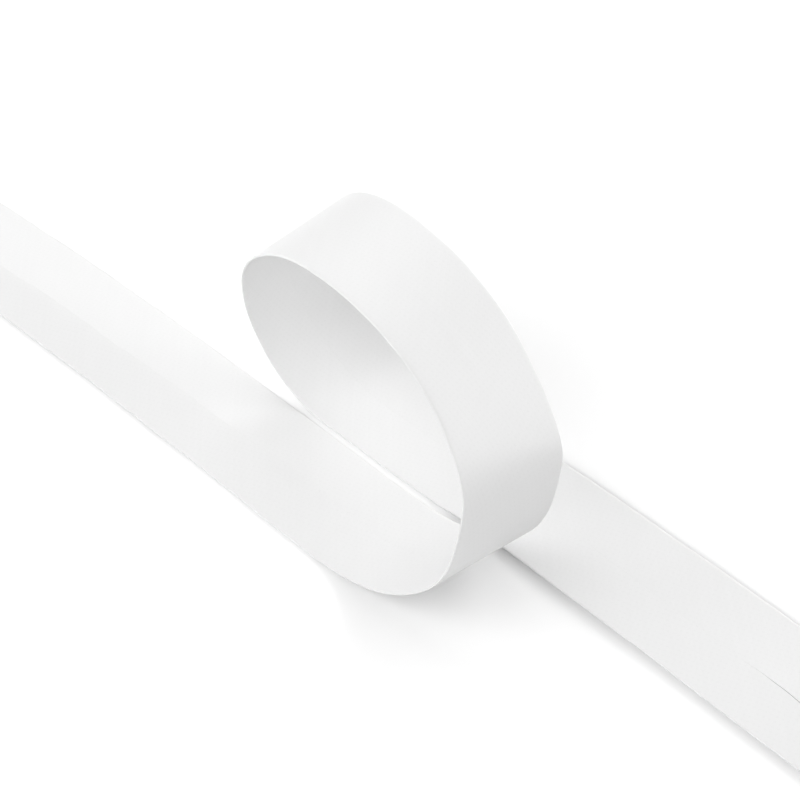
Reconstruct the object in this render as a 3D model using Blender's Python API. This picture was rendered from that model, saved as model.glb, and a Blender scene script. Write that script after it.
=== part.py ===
"""Bias tape: one cut length of satin tape with both long edges folded in to a slit.

The tape lies flat on a surface, stands up in one loop, and comes down beside itself to lie flat
again. It is one piece of cloth, so it is one solid: its folded section swept along the way it lies.
Lengths are in millimetres and angles in degrees up to build_mesh, which makes metres of them.
"""
import bpy
import numpy as np

METRES = 0.001

# The folded section: a face layer with two flaps folded over it, a little apart
WIDTH = 20
LAYER = 0.45
LAYER_GAP = 0.3
SLIT_GAP = 0.4
THICKNESS = 2 * LAYER + LAYER_GAP
OUTER_ARC_STEPS = 4
INNER_ARC_STEPS = 2

# How the tape lies, a row for each stretch. The station is measured along the tape's middle.
# Pitch turns the tape nose up, so a full loop is 360. Heading is its direction on the surface,
# and tilt lifts its far edge. The slit is where the flaps meet, off the middle of the width.
STATION, PITCH, HEADING, TILT, SLIT = range(5)
ROUTE = np.array([
    # station, pitch, heading, tilt, slit
    (-112, 0, -4.5, 0.0, -2.6),   # cut end of the left run
    (-75, 0, -5.1, 0.0, -2.4),
    (-35, 0, -7.0, 0.0, -1.7),
    (6, 0, -7.5, 0.0, 0.0),       # the tape leaves the surface
    (20, 20, -7.2, -2.5, 0.2),
    (32, 47, -5.4, -6.0, 0.2),
    (44, 88, -4.3, -10.5, 0.0),   # right side of the loop
    (56, 128, -3.1, -11.5, 0.0),
    (68, 150, 0.5, -8.5, 0.0),
    (82, 165, 2.0, -5.0, 0.0),
    (98, 187, 2.5, -2.0, -0.2),   # top of the loop
    (114, 224, 0.4, 1.5, -0.4),
    (128, 256, -1.6, 2.5, -0.4),  # left side of the loop
    (140, 286, -4.0, 0.5, 0.0),
    (152, 327, -6.6, -0.5, 0.4),
    (164, 360, -7.7, 0.0, 0.2),   # the tape is down again
    (182, 360, -5.8, 0.0, -0.3),
    (210, 360, -7.5, 0.0, -0.5),
    (245, 360, -8.5, 0.0, -1.0),
    (288, 360, -9.3, 0.0, -1.1),  # cut end of the right run
])
DRIFT = 7.5             # the tape runs this far off square to its own bends, so the loop is a helix
LIFT_OFF = 6
TOUCH_DOWN = 164
STEP = 1                # of the sum that adds up the route
LOOP_SPACING = 2        # between the solid's cross-sections, in the loop
RUN_SPACING = 8         # and on the flat runs

SATIN_WHITE = (0.90, 0.90, 0.89, 1.0)
SATIN_ROUGHNESS = 0.38


def clear_scene():
    for item in list(bpy.data.objects):
        bpy.data.objects.remove(item, do_unlink=True)


def smooth(column, stations):
    """Read a column at any station, on cubics that never pass beyond the rows they join."""
    knots, values = ROUTE[:, STATION], ROUTE[:, column]
    grade = np.diff(values) / np.diff(knots)
    slope = np.zeros(len(knots))
    for row in range(1, len(knots) - 1):
        before, after = grade[row - 1], grade[row]
        if before * after > 0:
            slope[row] = 2 * before * after / (before + after)
    row = np.clip(np.searchsorted(knots, stations, side="right") - 1, 0, len(knots) - 2)
    span = knots[row + 1] - knots[row]
    t = (stations - knots[row]) / span
    return ((1 + 2 * t) * (1 - t) ** 2 * values[row]
            + t * (1 - t) ** 2 * span * slope[row]
            + t ** 2 * (3 - 2 * t) * values[row + 1]
            + t ** 2 * (t - 1) * span * slope[row + 1])


def unit(vectors):
    return vectors / np.linalg.norm(vectors, axis=1, keepdims=True)


def lay_tape(stations):
    """The middle of the tape's face, and the directions across it and out of its slit side."""
    pitch = np.radians(smooth(PITCH, stations))
    heading = np.radians(smooth(HEADING, stations))
    tilt = np.radians(smooth(TILT, stations))
    drift = np.radians(DRIFT)
    up = np.array([0.0, 0.0, 1.0])
    forward = np.stack([np.cos(heading), np.sin(heading), 0 * heading], axis=1)
    sideways = np.stack([-np.sin(heading), np.cos(heading), 0 * heading], axis=1)

    bend_axis = np.cos(tilt)[:, None] * sideways + np.sin(tilt)[:, None] * up
    nose = np.cos(pitch)[:, None] * forward + np.sin(pitch)[:, None] * up
    nose = unit(nose - bend_axis * np.sum(nose * bend_axis, axis=1, keepdims=True))
    along = np.cos(drift) * nose + np.sin(drift) * bend_axis
    across = np.cos(drift) * bend_axis - np.sin(drift) * nose
    out = np.cross(along, across)

    middle = np.zeros_like(along)
    middle[1:] = np.cumsum((along[1:] + along[:-1]) / 2 * STEP, axis=0)
    # Both runs lie on the surface: the loop takes up what height is left over
    share = np.clip((stations - LIFT_OFF) / (TOUCH_DOWN - LIFT_OFF), 0, 1)
    middle[:, 2] -= middle[-1, 2] * share
    # Where the tape tilts as it leaves the surface, its lower edge still lies on it
    middle[:, 2] = np.maximum(middle[:, 2], WIDTH / 2 * np.abs(across[:, 2]))
    return middle, across, out


def arc(centre, height, radius, start, end, steps):
    angles = np.radians(np.linspace(start, end, steps + 1))
    return [(centre + radius * np.cos(a), height + radius * np.sin(a)) for a in angles]


def folded_section(slit):
    """The outline of the folded cloth, as distances across the tape and above its face."""
    fold = WIDTH / 2 - THICKNESS / 2
    level = THICKNESS / 2
    flap_under, flap_top = THICKNESS - LAYER, THICKNESS
    far_lip, near_lip = slit + SLIT_GAP / 2, slit - SLIT_GAP / 2
    outline = arc(fold, level, THICKNESS / 2, -90, 90, OUTER_ARC_STEPS)
    outline += [(far_lip, flap_top), (far_lip, flap_under)]
    outline += arc(fold, level, LAYER_GAP / 2, 90, -90, INNER_ARC_STEPS)
    outline += arc(-fold, level, LAYER_GAP / 2, -90, -270, INNER_ARC_STEPS)
    outline += [(near_lip, flap_under), (near_lip, flap_top)]
    outline += arc(-fold, level, THICKNESS / 2, 90, 270, OUTER_ARC_STEPS)
    return np.array(outline)


def section_stations(stations):
    """Close together in the loop, further apart on the flat runs, and always both cut ends."""
    in_loop = (stations >= LIFT_OFF - RUN_SPACING) & (stations <= TOUCH_DOWN + RUN_SPACING)
    count = np.arange(len(stations))
    keep = np.where(in_loop, count % LOOP_SPACING == 0, count % RUN_SPACING == 0)
    keep[0] = keep[-1] = True
    return np.flatnonzero(keep)


def tape_points():
    """A ring of section points at each cross-section, with the origin under the tape's middle."""
    stations = np.arange(ROUTE[0, STATION], ROUTE[-1, STATION] + STEP, STEP)
    middle, across, out = lay_tape(stations)
    slit = smooth(SLIT, stations)
    rings = []
    for i in section_stations(stations):
        section = folded_section(slit[i])
        rings.append(middle[i] + section[:, :1] * across[i] + section[:, 1:] * out[i])
    rings = np.array(rings)
    low, high = rings.min(axis=(0, 1)), rings.max(axis=(0, 1))
    return rings - [(low[0] + high[0]) / 2, (low[1] + high[1]) / 2, 0]


def build_mesh(name, rings):
    """Skin the rings with quads and close both cut ends."""
    count, size = len(rings), len(rings[0])
    faces = [tuple(reversed(range(size)))]
    for ring in range(count - 1):
        for point in range(size):
            here, beside = ring * size + point, ring * size + (point + 1) % size
            faces.append((here, beside, beside + size, here + size))
    faces.append(tuple(range((count - 1) * size, count * size)))
    mesh = bpy.data.meshes.new(name)
    mesh.from_pydata((rings.reshape(-1, 3) * METRES).tolist(), [], faces)
    mesh.update()
    return mesh


def satin():
    material = bpy.data.materials.new("white_satin")
    material.use_nodes = True
    shader = material.node_tree.nodes["Principled BSDF"]
    shader.inputs["Base Color"].default_value = SATIN_WHITE
    shader.inputs["Roughness"].default_value = SATIN_ROUGHNESS
    shader.inputs["Metallic"].default_value = 0.0
    return material


def build():
    clear_scene()
    mesh = build_mesh("bias_tape", tape_points())
    mesh.shade_smooth()
    mesh.set_sharp_from_angle(angle=np.radians(50))
    mesh.materials.append(satin())
    tape = bpy.data.objects.new("bias_tape", mesh)
    bpy.context.scene.collection.objects.link(tape)


build()
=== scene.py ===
"""The looks of the looped bias tape: folded polyester satin on a plain pale floor.

Lengths are in millimetres and angles in degrees up to the meshes, lights and camera, which are in
metres. The cloth is one thin sheet, folded as its solid is and laid along nearly the same route.
"""
import math

import bpy
import numpy as np
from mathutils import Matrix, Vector


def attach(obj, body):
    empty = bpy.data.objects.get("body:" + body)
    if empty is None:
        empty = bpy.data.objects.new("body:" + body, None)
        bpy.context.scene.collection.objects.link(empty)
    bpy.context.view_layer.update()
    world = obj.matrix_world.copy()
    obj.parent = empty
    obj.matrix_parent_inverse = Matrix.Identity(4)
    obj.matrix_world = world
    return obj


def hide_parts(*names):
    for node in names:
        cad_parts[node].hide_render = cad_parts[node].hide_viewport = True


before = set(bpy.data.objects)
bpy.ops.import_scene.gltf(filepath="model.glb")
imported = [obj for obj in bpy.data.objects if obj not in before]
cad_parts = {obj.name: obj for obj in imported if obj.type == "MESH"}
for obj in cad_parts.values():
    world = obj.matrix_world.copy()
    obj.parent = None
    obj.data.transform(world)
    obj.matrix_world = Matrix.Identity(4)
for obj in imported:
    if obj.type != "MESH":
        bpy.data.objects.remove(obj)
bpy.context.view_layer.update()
MM = 0.001

# How the tape lies: as its solid does, but bent tighter at the loop's right side. Stations run
# along its middle. Pitch turns the tape nose up, heading is its direction on the surface, tilt
# lifts its far edge, and the slit is how far from the middle the two folded edges meet.
WIDTH = 20
STATION, PITCH, HEADING, TILT, SLIT = range(5)
ROUTE = np.array([
    # station, pitch, heading, tilt, slit
    (-112, 0, -4.5, 0.0, -3.6),   # cut end of the left run
    (-75, 0, -5.1, 0.0, -2.4),
    (-35, 0, -7.0, 0.0, -1.7),
    (6, 0, -7.5, 0.0, 0.0),       # the tape leaves the surface
    (20, 20, -6.2, -2.0, 0.2),
    (32, 46, -5.7, -5.5, 0.2),
    (44, 87, -4.7, -6.5, 0.0),    # right side of the loop
    (50, 97, -3.9, -7.5, 0.0),
    (58, 140, -4.3, -13.0, 0.0),  # it bends tightest just above
    (68, 150, -1.5, -10.0, 0.0),
    (82, 166, 0.9, -5.5, 0.0),
    (98, 185, 2.4, -2.0, -0.2),   # top of the loop
    (114, 221, 1.3, 1.0, -0.4),
    (128, 256, -1.3, 2.0, -0.4),  # left side of the loop
    (140, 285, -4.6, 1.5, 0.0),
    (152, 324, -7.2, 1.0, 0.4),
    (164, 359, -7.8, 0.5, 0.2),   # the tape is down again
    (182, 360, -5.8, 0.0, -0.3),
    (210, 360, -7.5, 0.0, -0.5),
    (245, 360, -8.5, 0.0, -1.0),
    (288, 360, -9.2, 0.0, -1.1),  # cut end of the right run
])
DRIFT = 7.5                       # the tape runs this far off square to its own bends
LIFT_OFF, TOUCH_DOWN = 6, 164     # between these stations it stands up in its loop
STEP = 0.5                        # of the sum that adds up the route
RING_SPACING = 2                  # steps from one cross-section of cloth to the next

# How the cloth is folded, by station. Roll is how far in from the edge the face starts to turn
# over, and full is half the height of that turn. Lift is how far each edge stands off the flat:
# the tape bends along the slit, where it has one layer, so each half tilts as a flat strip. Spring
# is how far the raw edges stand up where they meet, and open is how far the slit gapes.
NEAR_ROLL, NEAR_FULL, FAR_ROLL, FAR_FULL, NEAR_LIFT, FAR_LIFT, SPRING, OPEN = range(1, 9)
FOLDS = np.array([
    # station, near roll, near full, far roll, far full, near lift, far lift, spring, open
    (-112, 0.20, 0.10, 0.20, 0.10, 0.10, 0.00, 1.70, 0.00),
    (-35, 0.20, 0.10, 0.20, 0.10, 0.10, 0.00, 1.70, 0.00),
    (-12, 0.20, 0.10, 0.20, 0.10, 0.00, 0.00, 1.20, 0.00),
    (6, 0.20, 0.09, 0.20, 0.09, 0.00, 0.00, 0.10, 0.00),     # pulled flat where the tape bends up
    (14, 0.20, 0.09, 0.20, 0.09, 0.00, 0.00, 0.00, 0.00),
    (50, 0.20, 0.09, 0.20, 0.09, 0.00, 0.00, 0.00, 0.00),
    (64, 0.90, 0.15, 0.20, 0.09, 0.00, 0.00, 0.00, 0.00),
    (78, 1.30, 0.22, 0.20, 0.09, 0.00, 0.00, 0.00, 0.00),    # the near fold is softest over the top
    (92, 0.60, 0.20, 0.20, 0.09, 0.00, 0.00, 0.00, 0.00),
    (124, 0.20, 0.14, 0.20, 0.09, 0.00, 0.00, 0.00, 0.00),
    (164, 0.20, 0.09, 0.20, 0.10, 0.00, 0.00, 0.00, 0.00),
    (186, 0.20, 0.09, 0.20, 0.10, 0.05, 0.40, 0.20, 0.00),
    (198, 0.20, 0.10, 0.20, 0.10, 0.65, 1.10, 0.85, 0.00),   # both edges curl up beside the loop
    (222, 0.20, 0.10, 0.20, 0.10, 0.60, 1.20, 0.95, 0.00),
    (240, 0.20, 0.10, 0.20, 0.10, 0.45, 1.10, 0.95, 0.00),
    (249, 0.20, 0.10, 0.20, 0.10, 0.45, 1.10, 1.05, 0.10),
    (288, 0.20, 0.10, 0.20, 0.10, 0.45, 1.10, 1.10, 0.08),
])
CLOTH = 0.14                      # one layer of satin
SLIT_GAP = 0.006                  # between the raw edges where the slit is closed
LAYER_GAP = 0.02                  # from the face to the raw edges folded over it
HINGE = 1.18                      # how lifts and springs leave the slit: 1 is a sharp hinge

# Unevenness that hands and an iron leave: the most that each thing strays from its even place, and
# where its waves start, so that no two run alike. The folds' height and the gape stray by a share.
NEAR_EDGE_WAVER, FAR_EDGE_WAVER = (0.10, 1.9), (0.10, 4.4)
NEAR_FULL_WAVER, FAR_FULL_WAVER = (0.05, 0.7), (0.05, 3.1)
SLIT_WAVER, OPEN_WAVER = (0.25, 2.6), (0.6, 5.5)
WAVE_LENGTHS = (31.0, 12.7, 5.3)

# The raw edges show through the face over the loop's bend, as a faint ridge
RIDGE_HEIGHT, RIDGE_WIDTH = 0.05, 0.5
RIDGE_START, RIDGE_END = 60, 92

# Points across each flap, each turned edge and the face
FLAP_POINTS, TURN_POINTS, FACE_POINTS = 14, 8, 26
CRISP_CORNER = 50                 # the raw edges and cut ends turn by more than this

# White satin. Real yarns are about 0.12 mm apart, which is too fine to show, so they are drawn at
# about three times that. Each dips under every fifth yarn that crosses it, two yarns further on
# than its neighbour does. The pattern counts in yarns.
YARN = 0.4
BIAS = 45
HALF_YARN = 0.5
REPEAT, REPEAT_STEP = 5.0, 2.0
YARN_TOP, YARN_ROUNDING = 0.35, 0.3   # a yarn's side levels off at this height, and how softly
YARN_RELIEF, BUMP = 0.25, 0.05        # flattened by the iron, so it hardly shows
# The dip colour is painted shade: the cloth is drawn darker where each yarn dips under one that
# crosses it.
SATIN_LIGHT, SATIN_SHADE, SATIN_PAINTED_DIP_SHADE = "#cfcfcf", "#cecece", "#cacaca"
SATIN_IOR = 1.5
SATIN_GLOSSY, SATIN_DULL = 0.36, 0.46  # roughness, which changes from patch to patch
PATCH_SCALE, PATCH_DETAIL = 0.06, 3.0  # patches about 17 mm across
PATCH_SHARE = 0.55                # of the differences in tone. The yarns' own tones give the rest.
TONE_LOW, TONE_HIGH = 0.2, 0.8    # that mix at its darkest and lightest

# The floor, which lies a hair under the tape
FLOOR_SIZE, FLOOR_DROP = 4000, 0.03
BOARD_WHITE, BOARD_ROUGHNESS = "#e5e5e5", 0.9

# The view of the photograph. Its azimuth turns from -y to +x.
VIEW_AZIMUTH, VIEW_ELEVATION = 44.8, 45.4
VIEW_DISTANCE, VIEW_TARGET = 303, (-8.6, 14.6, 0)
LENS, SENSOR = 80, 36
CLIP_START, CLIP_END = 10, 20000

# Soft light from all sides, strongest from low beyond the tape's far edge, as the photograph's
# shading and shadows ask for. Azimuth turns from +x to +y, and power is in watts.
SOFTBOX_SIZE, SOFTBOX_DISTANCE = 500, 800
SOFTBOXES = (
    # name, azimuth, elevation, power
    ("near_left", 225, 30, 1.7),
    ("near", 270, 30, 1.4),
    ("near_right", 315, 30, 3.0),
    ("left", 180, 15, 1.7),
    ("behind", 145, 25, 0.6),
    ("far_left", 116, 17, 1.9),
    ("far_middle", 95, 17, 2.4),
    ("far", 75, 17, 2.0),
    ("far_right", 45, 22, 1.4),
    ("high_left", 240, 50, 1.2),
    ("high_near", 270, 50, 1.4),
    ("high_behind", 140, 60, 1.3),
    ("high_right", 60, 50, 0.5),
)
ROOM_WHITE, ROOM_STRENGTH = "#ffffff", 0.1  # what the pale room gives back


def linear(hex_value):
    """An sRGB hex colour as linear red, green, blue and alpha."""
    parts = [int(hex_value[i:i + 2], 16) / 255 for i in (1, 3, 5)]
    return [p / 12.92 if p <= 0.04045 else ((p + 0.055) / 1.055) ** 2.4 for p in parts] + [1.0]


def smooth(table, column, stations):
    """Read a column at any station, on cubics that never pass beyond the rows they join."""
    knots, values = table[:, STATION], table[:, column]
    grade = np.diff(values) / np.diff(knots)
    slope = np.zeros(len(knots))
    for row in range(1, len(knots) - 1):
        before, after = grade[row - 1], grade[row]
        if before * after > 0:
            slope[row] = 2 * before * after / (before + after)
    row = np.clip(np.searchsorted(knots, stations, side="right") - 1, 0, len(knots) - 2)
    span = knots[row + 1] - knots[row]
    t = (stations - knots[row]) / span
    return ((1 + 2 * t) * (1 - t) ** 2 * values[row]
            + t * (1 - t) ** 2 * span * slope[row]
            + t ** 2 * (3 - 2 * t) * values[row + 1]
            + t ** 2 * (t - 1) * span * slope[row + 1])


def unit(vectors):
    """The same directions, each of length one."""
    return vectors / np.linalg.norm(vectors, axis=-1, keepdims=True)


def lay_tape(stations):
    """The middle of the tape's face, and the directions across it and out of its slit side."""
    pitch = np.radians(smooth(ROUTE, PITCH, stations))
    heading = np.radians(smooth(ROUTE, HEADING, stations))
    tilt = np.radians(smooth(ROUTE, TILT, stations))
    drift = np.radians(DRIFT)
    up = np.array([0.0, 0.0, 1.0])
    forward = np.stack([np.cos(heading), np.sin(heading), 0 * heading], axis=1)
    sideways = np.stack([-np.sin(heading), np.cos(heading), 0 * heading], axis=1)

    bend_axis = np.cos(tilt)[:, None] * sideways + np.sin(tilt)[:, None] * up
    nose = np.cos(pitch)[:, None] * forward + np.sin(pitch)[:, None] * up
    nose = unit(nose - bend_axis * np.sum(nose * bend_axis, axis=1, keepdims=True))
    along = np.cos(drift) * nose + np.sin(drift) * bend_axis
    across = np.cos(drift) * bend_axis - np.sin(drift) * nose
    out = np.cross(along, across)

    # The loop comes down exactly to the surface, and no edge dips below it
    middle = np.zeros_like(along)
    middle[1:] = np.cumsum((along[1:] + along[:-1]) / 2 * STEP, axis=0)
    share = np.clip((stations - LIFT_OFF) / (TOUCH_DOWN - LIFT_OFF), 0, 1)
    middle[:, 2] -= middle[-1, 2] * share
    middle[:, 2] = np.maximum(middle[:, 2], WIDTH / 2 * np.abs(across[:, 2]))
    return middle, across, out


def waver(stations, size, phase):
    """An unevenness along the tape: three waves that never line up, within plus or minus size."""
    waves = [np.sin(2 * np.pi * stations / length + phase * (n + 1)) / 2 ** (n + 1)
             for n, length in enumerate(WAVE_LENGTHS)]
    return size * np.sum(waves, axis=0)


def flap(side, half, roll, full, spring, lip):
    """One folded-in edge from its raw lip to its turn: places across, and heights over the face.

    Side is 1 for the near edge and -1 for the far one, and half is the half width on that side.
    """
    reach = half + side * lip
    share = np.linspace(0, 1, FLAP_POINTS + 1)[:-1]
    height = (CLOTH + LAYER_GAP) * (1 - share) + 2 * full * share + spring * (1 - share ** HINGE)
    return np.stack([lip - side * (reach - roll) * share, height], axis=1)


def turn(side, half, roll, full):
    """The folded edge itself, from the flap down to the face, as half an ellipse."""
    angle = np.radians(np.linspace(90, -90, TURN_POINTS + 1)[:-1])
    across = -side * (half - roll + roll * np.cos(angle))
    return np.stack([across, full + full * np.sin(angle)], axis=1)


def cross_section(row, near_half, far_half, near_lip, far_lip, ridge_height):
    """The cloth's middle line across the tape, from its near raw lip to its far one."""
    near = near_half, row[NEAR_ROLL], row[NEAR_FULL]
    far = far_half, row[FAR_ROLL], row[FAR_FULL]
    face = np.linspace(row[NEAR_ROLL] - near_half, far_half - row[FAR_ROLL], FACE_POINTS)
    ridge = -ridge_height * np.exp(-((face - near_lip) / RIDGE_WIDTH) ** 2)
    line = np.concatenate([
        flap(1, *near, row[SPRING], near_lip),
        turn(1, *near),
        np.stack([face, ridge], axis=1),
        turn(-1, *far)[::-1],
        flap(-1, *far, row[SPRING], far_lip)[::-1],
    ])
    across, height = line.T
    slit = (near_lip + far_lip) / 2
    to_near = np.clip((slit - across) / (slit + near_half), 0, 1)
    to_far = np.clip((across - slit) / (far_half - slit), 0, 1)
    height = height + row[NEAR_LIFT] * to_near ** HINGE + row[FAR_LIFT] * to_far ** HINGE
    return np.stack([across, height + CLOTH / 2], axis=1)


def thicken(line):
    """The cloth's outline round its middle line, and how far across the cloth each point lies."""
    along = unit(np.gradient(line, axis=0))
    side = np.stack([along[:, 1], -along[:, 0]], axis=1) * CLOTH / 2
    side[0] = side[-1] = (0, CLOTH / 2)
    spread = np.concatenate([[0], np.cumsum(np.linalg.norm(np.diff(line, axis=0), axis=1))])
    outline = np.concatenate([line + side, (line - side)[::-1]])
    return outline, np.concatenate([spread, spread[::-1]])


def tape_surface():
    """Rings of cloth points along the route in millimetres, with their places on the flat cloth.

    The middle of the tape's box is over the origin, as its solid's is.
    """
    stations = np.arange(ROUTE[0, STATION], ROUTE[-1, STATION] + STEP, STEP)
    middle, across, out = lay_tape(stations)
    folds = np.stack([smooth(FOLDS, column, stations) for column in range(FOLDS.shape[1])], axis=1)
    folds[:, NEAR_FULL] *= 1 + waver(stations, *NEAR_FULL_WAVER)
    folds[:, FAR_FULL] *= 1 + waver(stations, *FAR_FULL_WAVER)
    near_half = WIDTH / 2 + waver(stations, *NEAR_EDGE_WAVER)
    far_half = WIDTH / 2 + waver(stations, *FAR_EDGE_WAVER)
    slit = smooth(ROUTE, SLIT, stations) + waver(stations, *SLIT_WAVER)
    gap = SLIT_GAP / 2 + folds[:, OPEN] / 2 * (1 + waver(stations, *OPEN_WAVER))
    over_bend = np.clip((stations - RIDGE_START) / (RIDGE_END - RIDGE_START), 0, 1)
    ridge_height = RIDGE_HEIGHT * np.sin(np.pi * over_bend) ** 2
    rings, flat = [], []
    for i in range(0, len(stations), RING_SPACING):
        line = cross_section(folds[i], near_half[i], far_half[i],
                             slit[i] - gap[i], slit[i] + gap[i], ridge_height[i])
        outline, spread = thicken(line)
        rings.append(middle[i] + outline[:, :1] * across[i] + outline[:, 1:] * out[i])
        flat.append(np.stack([np.full(len(spread), stations[i]), spread], axis=1))
    rings, flat = np.array(rings), np.array(flat)
    low, high = rings.min(axis=(0, 1)), rings.max(axis=(0, 1))
    return rings - [(low[0] + high[0]) / 2, (low[1] + high[1]) / 2, 0], flat


def make_tape():
    """The cloth as one closed skin. Its map holds places on the flat cloth, in millimetres."""
    rings, flat = tape_surface()
    count, size = rings.shape[:2]
    faces = [tuple(range(size))[::-1]]
    for ring in range(count - 1):
        for point in range(size):
            here, beside = ring * size + point, ring * size + (point + 1) % size
            faces.append((here, beside, beside + size, here + size))
    faces.append(tuple(range((count - 1) * size, count * size)))
    mesh = bpy.data.meshes.new("bias_tape_cloth")
    mesh.from_pydata((rings.reshape(-1, 3) * MM).tolist(), [], faces)
    cloth_map = mesh.uv_layers.new(name="cloth")
    corners = np.empty(len(mesh.loops), dtype=np.int32)
    mesh.loops.foreach_get("vertex_index", corners)
    cloth_map.data.foreach_set("uv", flat.reshape(-1, 2)[corners].ravel())
    mesh.shade_smooth()
    mesh.set_sharp_from_angle(angle=math.radians(CRISP_CORNER))
    mesh.update()
    tape = bpy.data.objects.new("bias_tape_cloth", mesh)
    bpy.context.scene.collection.objects.link(tape)
    return tape


def add(tree, kind, settings=None, links=None):
    """Add a node, set its properties and sockets, and link its inputs.

    A socket goes by its name, or by its place where names repeat, as in Math and Mix nodes.
    """
    node = tree.nodes.new(kind)
    for key, value in (settings or {}).items():
        if isinstance(key, int) or key in node.inputs:
            node.inputs[key].default_value = value
        else:
            setattr(node, key, value)
    for key, source in (links or {}).items():
        tree.links.new(source, node.inputs[key])
    return node


def polyester_satin():
    """Woven polyester satin, cut on the bias. Its yarns float over four of the yarns that cross
    them and dip under the fifth, so the face is smooth and slants at 45 degrees across the tape.
    That gives a soft, wide sheen and hardly any texture from a step away."""
    material = bpy.data.materials.new("polyester_satin_woven")
    material.use_nodes = True
    tree = material.node_tree
    shader = tree.nodes["Principled BSDF"]
    shader.inputs["IOR"].default_value = SATIN_IOR

    # Yarns across x and along y, once the cloth is turned by its bias
    cloth = add(tree, "ShaderNodeUVMap", {"uv_map": "cloth"})
    yarns = add(tree, "ShaderNodeMapping",
                {"Rotation": (0, 0, math.radians(BIAS)), "Scale": (1 / YARN, 1 / YARN, 1)},
                {"Vector": cloth.outputs["UV"]})
    place = add(tree, "ShaderNodeSeparateXYZ", None, {"Vector": yarns.outputs["Vector"]})
    yarn = add(tree, "ShaderNodeMath", {"operation": "FLOOR"}, {0: place.outputs["X"]})
    crossing = add(tree, "ShaderNodeMath", {"operation": "FLOOR"}, {0: place.outputs["Y"]})

    # Each yarn is round across, and dips where it goes under
    over = add(tree, "ShaderNodeMath", {"operation": "PINGPONG", 1: HALF_YARN},
               {0: place.outputs["X"]})
    round_yarn = add(tree, "ShaderNodeMath",
                     {"operation": "SMOOTH_MIN", 1: YARN_TOP, 2: YARN_ROUNDING},
                     {0: over.outputs["Value"]})
    count = add(tree, "ShaderNodeMath", {"operation": "MULTIPLY_ADD", 1: REPEAT_STEP},
                {0: yarn.outputs["Value"], 2: crossing.outputs["Value"]})
    in_repeat = add(tree, "ShaderNodeMath", {"operation": "FLOORED_MODULO", 1: REPEAT},
                    {0: count.outputs["Value"]})
    goes_under = add(tree, "ShaderNodeMath", {"operation": "LESS_THAN", 1: HALF_YARN},
                     {0: in_repeat.outputs["Value"]})
    along = add(tree, "ShaderNodeMath", {"operation": "PINGPONG", 1: HALF_YARN},
                {0: place.outputs["Y"]})
    dip = add(tree, "ShaderNodeMath", {"operation": "MULTIPLY"},
              {0: goes_under.outputs["Value"], 1: along.outputs["Value"]})
    height = add(tree, "ShaderNodeMath", {"operation": "SUBTRACT"},
                 {0: round_yarn.outputs["Value"], 1: dip.outputs["Value"]})
    bump = add(tree, "ShaderNodeBump", {"Strength": BUMP, "Distance": YARN * MM * YARN_RELIEF},
               {"Height": height.outputs["Value"]})
    tree.links.new(bump.outputs["Normal"], shader.inputs["Normal"])

    # Yarns differ a little in tone, and so does the cloth from patch to patch
    own = add(tree, "ShaderNodeTexWhiteNoise", {"noise_dimensions": "1D"},
              {"W": yarn.outputs["Value"]})
    patches = add(tree, "ShaderNodeTexNoise", {"Scale": PATCH_SCALE, "Detail": PATCH_DETAIL},
                  {"Vector": cloth.outputs["UV"]})
    shade = add(tree, "ShaderNodeMix", {"data_type": "FLOAT", "Factor": PATCH_SHARE},
                {2: own.outputs["Value"], 3: patches.outputs["Fac"]})
    tone = add(tree, "ShaderNodeMapRange", {"From Min": TONE_LOW, "From Max": TONE_HIGH},
               {"Value": shade.outputs[0]})
    colour = add(tree, "ShaderNodeMix",
                 {"data_type": "RGBA", 6: linear(SATIN_SHADE), 7: linear(SATIN_LIGHT)},
                 {0: tone.outputs["Result"]})
    # Painted shade: the colour is darker where a yarn dips under a crossing one.
    painted_dip_shade = add(tree, "ShaderNodeMix", {"data_type": "RGBA", 7: linear(SATIN_PAINTED_DIP_SHADE)},
                 {0: dip.outputs["Value"], 6: colour.outputs[2]})
    tree.links.new(painted_dip_shade.outputs[2], shader.inputs["Base Color"])
    gloss = add(tree, "ShaderNodeMapRange", {"To Min": SATIN_GLOSSY, "To Max": SATIN_DULL},
                {"Value": patches.outputs["Fac"]})
    tree.links.new(gloss.outputs["Result"], shader.inputs["Roughness"])
    return material


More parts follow.
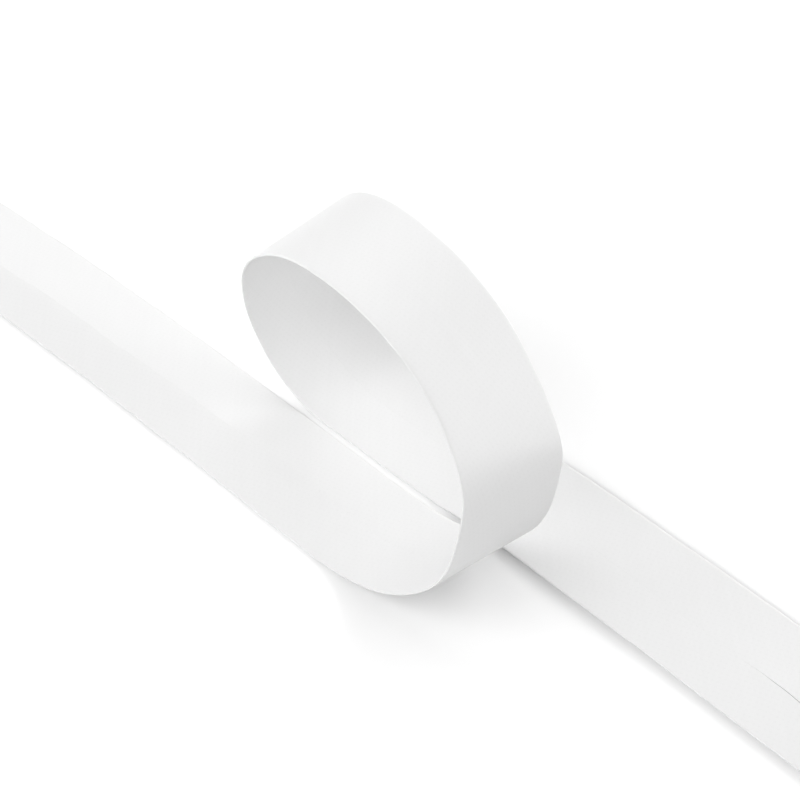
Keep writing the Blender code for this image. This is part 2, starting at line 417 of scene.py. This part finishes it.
def make_floor():
    """A matt white board, smooth and painted: it takes soft shadows and has no gloss."""
    half = FLOOR_SIZE * MM / 2
    corners = [(-half, -half, 0), (half, -half, 0), (half, half, 0), (-half, half, 0)]
    mesh = bpy.data.meshes.new("floor")
    mesh.from_pydata(corners, [], [(0, 1, 2, 3)])
    floor = bpy.data.objects.new("floor", mesh)
    floor.location.z = -FLOOR_DROP * MM
    bpy.context.scene.collection.objects.link(floor)
    material = bpy.data.materials.new("matt_white_board")
    material.use_nodes = True
    shader = material.node_tree.nodes["Principled BSDF"]
    shader.inputs["Base Color"].default_value = linear(BOARD_WHITE)
    shader.inputs["Roughness"].default_value = BOARD_ROUGHNESS
    mesh.materials.append(material)


def aim(thing, place, target):
    """Put a light or the camera in its place and point it at the target."""
    thing.location = place
    thing.rotation_euler = (Vector(target) - Vector(place)).to_track_quat("-Z", "Y").to_euler()


def softbox(name, azimuth, elevation, power):
    """A square softbox, aimed at the middle."""
    light = bpy.data.lights.new(name, "AREA")
    light.shape = "SQUARE"
    light.size = SOFTBOX_SIZE * MM
    light.energy = power
    turned, raised = math.radians(azimuth), math.radians(elevation)
    direction = Vector((math.cos(raised) * math.cos(turned),
                        math.cos(raised) * math.sin(turned),
                        math.sin(raised)))
    holder = bpy.data.objects.new(name, light)
    aim(holder, direction * (SOFTBOX_DISTANCE * MM), (0, 0, 0))
    bpy.context.scene.collection.objects.link(holder)


def make_light():
    """The softboxes, and the room they stand in."""
    for row in SOFTBOXES:
        softbox(*row)
    world = bpy.data.worlds.new("studio")
    world.use_nodes = True
    background = world.node_tree.nodes["Background"]
    background.inputs["Color"].default_value = linear(ROOM_WHITE)
    background.inputs["Strength"].default_value = ROOM_STRENGTH
    bpy.context.scene.world = world


def make_camera():
    """The photograph's camera, from the angles and the distance to its target."""
    azimuth, elevation = math.radians(VIEW_AZIMUTH), math.radians(VIEW_ELEVATION)
    back = Vector((math.sin(azimuth) * math.cos(elevation),
                   -math.cos(azimuth) * math.cos(elevation),
                   math.sin(elevation)))
    target = Vector(VIEW_TARGET) * MM
    camera = bpy.data.cameras.new("camera")
    camera.sensor_width = SENSOR
    camera.lens = LENS
    camera.clip_start, camera.clip_end = CLIP_START * MM, CLIP_END * MM
    holder = bpy.data.objects.new("camera", camera)
    aim(holder, target + back * VIEW_DISTANCE * MM, target)
    bpy.context.scene.collection.objects.link(holder)
    bpy.context.scene.camera = holder


make_camera()
make_floor()
make_light()

tape = make_tape()
tape.data.materials.append(polyester_satin())
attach(tape, "root")
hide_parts("bias_tape")

view = bpy.context.scene.view_settings
view.view_transform = "Standard"
view.look = "None"
